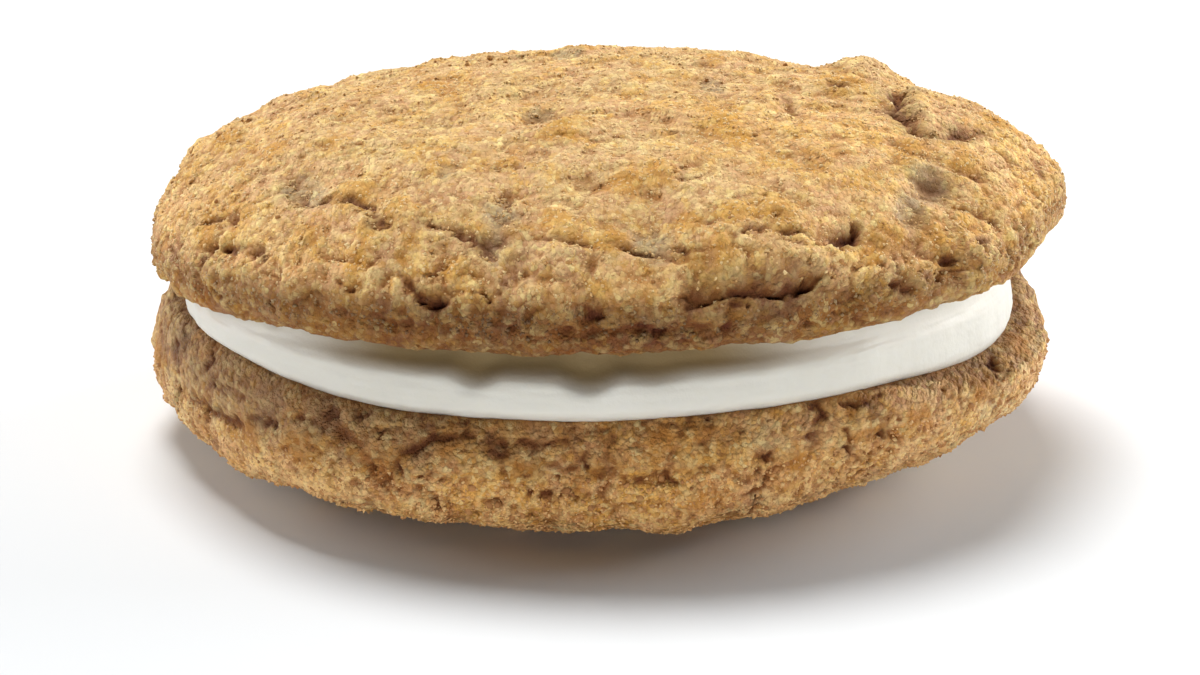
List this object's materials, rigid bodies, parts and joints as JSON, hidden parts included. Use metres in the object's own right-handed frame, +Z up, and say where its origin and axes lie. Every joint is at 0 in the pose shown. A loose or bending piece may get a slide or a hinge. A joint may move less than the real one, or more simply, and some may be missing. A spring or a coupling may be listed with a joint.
{
  "type": "cookie sandwich",
  "caption": "Round sandwich of thick crackled ginger-brown cookies, flat sides inward, with a slab of smooth white cream between them.",
  "frame": {"origin": "on the surface it rests on, under the middle of the sandwich", "axes": "+Z up through both cookies, +X to the right of the side in the picture, -Y towards that side"},
  "size_m": [0.0893, 0.088, 0.0333],
  "materials": {
    "top_crust": "matt, sandy baked crust",
    "cream": "smooth, slightly satin",
    "bottom_crust": "matt, crumbly baked crust"
  },
  "bodies": {
    "root": {"top_cookie": "top_crust", "cream_filling": "cream", "bottom_cookie": "bottom_crust"}
  },
  "joints": []
}
